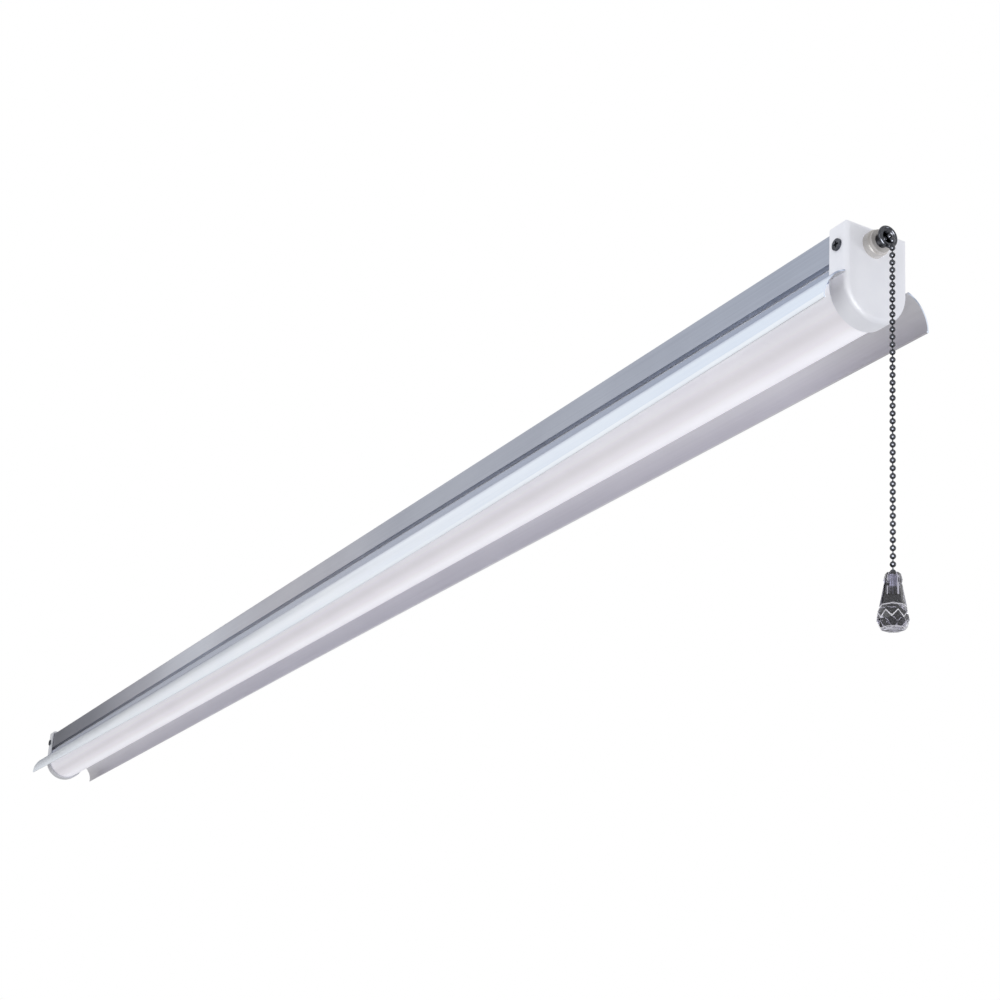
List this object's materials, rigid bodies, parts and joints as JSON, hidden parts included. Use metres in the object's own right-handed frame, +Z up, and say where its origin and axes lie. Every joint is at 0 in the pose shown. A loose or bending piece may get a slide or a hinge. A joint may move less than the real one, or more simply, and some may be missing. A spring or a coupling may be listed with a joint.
{
  "type": "hanging shop light",
  "caption": "Slim linear shop light: inverted metal channel, two-winged reflector, frosted U lens, white end caps and a ball-chain pull switch with a faceted knob.",
  "frame": {"origin": "middle of the housing's flat top face, between the four hanging holes", "axes": "+X along the light towards the end with the pull switch, +Y across it, +Z up"},
  "size_m": [1.2202, 0.0576, 0.184],
  "materials": {
    "satin_steel": "satin, brushed along the length",
    "tray_steel": "matt grey",
    "reflector_sheet": "bright brushed sheet",
    "rivet_metal": "plain",
    "board_mask": "white solder mask",
    "light_chip": "yellow phosphor",
    "bright_screw": "zinc plated",
    "plug_white": "moulded",
    "frosted_lens": "frosted, lets light through",
    "white_cap": "moulded, slightly glossy",
    "dark_screw": "blackened",
    "case_steel": "tinned sheet",
    "circuit_board": "green",
    "coil_yellow": "taped coil",
    "can_blue": "sleeved can",
    "copper_wire": "enamelled wire",
    "block_nylon": "natural nylon",
    "terminal_brass": "plain",
    "grommet_rubber": "soft",
    "lead_black": "insulated lead",
    "lead_red": "insulated lead",
    "switch_bakelite": "moulded brown",
    "collar_white": "moulded, off-white",
    "nozzle_chrome": "bright plated",
    "steel_plain": "plain",
    "drum_nylon": "natural nylon",
    "rotor_resin": "moulded",
    "contact_brass": "plain",
    "chain_metal": "bright plated",
    "clear_acrylic": "clear, faceted",
    "dark_metal": "dark plated"
  },
  "bodies": {
    "light": {"housing_channel": "satin_steel", "gear_tray": "tray_steel", "reflector": "reflector_sheet", "reflector_rivets": "rivet_metal", "led_board_near": "board_mask", "led_board_far": "board_mask", "led_chips_near": "light_chip", "led_chips_far": "light_chip", "board_screws": "bright_screw", "board_connector": "plug_white", "diffuser": "frosted_lens", "end_cap_near": "white_cap", "end_cap_far": "white_cap", "cap_screws_near": "dark_screw", "cap_screws_far": "dark_screw", "driver_case": "case_steel", "driver_lid": "case_steel", "driver_board": "circuit_board", "driver_transformer": "coil_yellow", "driver_capacitors": "can_blue", "driver_choke": "copper_wire", "driver_screws": "bright_screw", "terminal_block": "block_nylon", "terminal_screws": "terminal_brass", "cord_grommet": "grommet_rubber", "supply_leads": "lead_black", "switch_leads": "lead_red", "led_leads": "lead_red", "switch_base": "switch_bakelite", "switch_cover": "switch_bakelite", "switch_nozzle": "nozzle_chrome", "switch_collar": "collar_white", "drum_pin": "steel_plain", "return_spring": "steel_plain", "contact_blades": "contact_brass"},
    "inner_chain": {"inner_chain": "chain_metal"},
    "bend_bead_inner": {"bend_bead_inner": "chain_metal"},
    "bend_bead_outer": {"bend_bead_outer": "chain_metal"},
    "drum": {"pull_drum": "drum_nylon", "drum_chain": "chain_metal", "contact_rotor": "rotor_resin"},
    "chain_top": {"top_bead": "chain_metal"},
    "chain_swivel": {"swing_links": "chain_metal"},
    "chain": {"chain_beads": "chain_metal", "chain_links": "chain_metal"},
    "knob_link": {"knob_link": "chain_metal"},
    "knob_hanger": {"knob_hanger": "chain_metal"},
    "knob": {"knob_body": "clear_acrylic", "knob_connector": "dark_metal", "knob_pin": "dark_metal"}
  },
  "joints": [
    {"name": "chain_pull", "type": "slide", "parent": "light", "child": "chain_top", "axis": [0, 0, -1], "range_m": [0, 0.005], "stiffness_N_per_m": 300, "springref_m": -0.004},
    {"name": "bend_bead_outer_slide", "type": "slide", "parent": "light", "child": "bend_bead_outer", "axis": [0.3709, 0, -0.9287], "range_m": [0, 0.00466]},
    {"name": "bend_bead_inner_slide", "type": "slide", "parent": "light", "child": "bend_bead_inner", "axis": [0.9732, 0, -0.23], "range_m": [0, 0.00435]},
    {"name": "inner_chain_slide", "type": "slide", "parent": "light", "child": "inner_chain", "axis": [1, 0, 0], "range_m": [0, 0.0048]},
    {"name": "drum_turn", "type": "hinge", "parent": "light", "child": "drum", "pos_m": [0.58617, 0.0035, -0.0065], "axis": [0, 0, 1], "range_deg": [0, 50.1]},
    {"name": "chain_swing_side", "type": "hinge", "parent": "chain_top", "child": "chain_swivel", "pos_m": [0.612, -0.002, -0.0096], "axis": [1, 0, 0], "range_deg": [-60, 60]},
    {"name": "chain_swing_out", "type": "hinge", "parent": "chain_swivel", "child": "chain", "pos_m": [0.612, -0.002, -0.0165], "axis": [0, -1, 0], "range_deg": [-12, 65]},
    {"name": "knob_tilt_side", "type": "hinge", "parent": "chain", "child": "knob_link", "pos_m": [0.612, -0.002, -0.1545], "axis": [1, 0, 0], "range_deg": [-40, 40]},
    {"name": "knob_tilt_out", "type": "hinge", "parent": "knob_link", "child": "knob_hanger", "pos_m": [0.612, -0.002, -0.15795], "axis": [0, -1, 0], "range_deg": [-40, 40]},
    {"name": "knob_spin", "type": "hinge", "parent": "knob_hanger", "child": "knob", "pos_m": [0.612, -0.002, -0.1614], "axis": [0, 0, 1], "continuous": true}
  ],
  "couplings": [
    {"joint": "bend_bead_outer_slide", "follows": "chain_pull", "ratio": 0.93266},
    {"joint": "bend_bead_inner_slide", "follows": "chain_pull", "ratio": 0.86942},
    {"joint": "inner_chain_slide", "follows": "chain_pull", "ratio": 0.96},
    {"joint": "drum_turn", "follows": "chain_pull", "rad_per_m": 174.55}
  ]
}
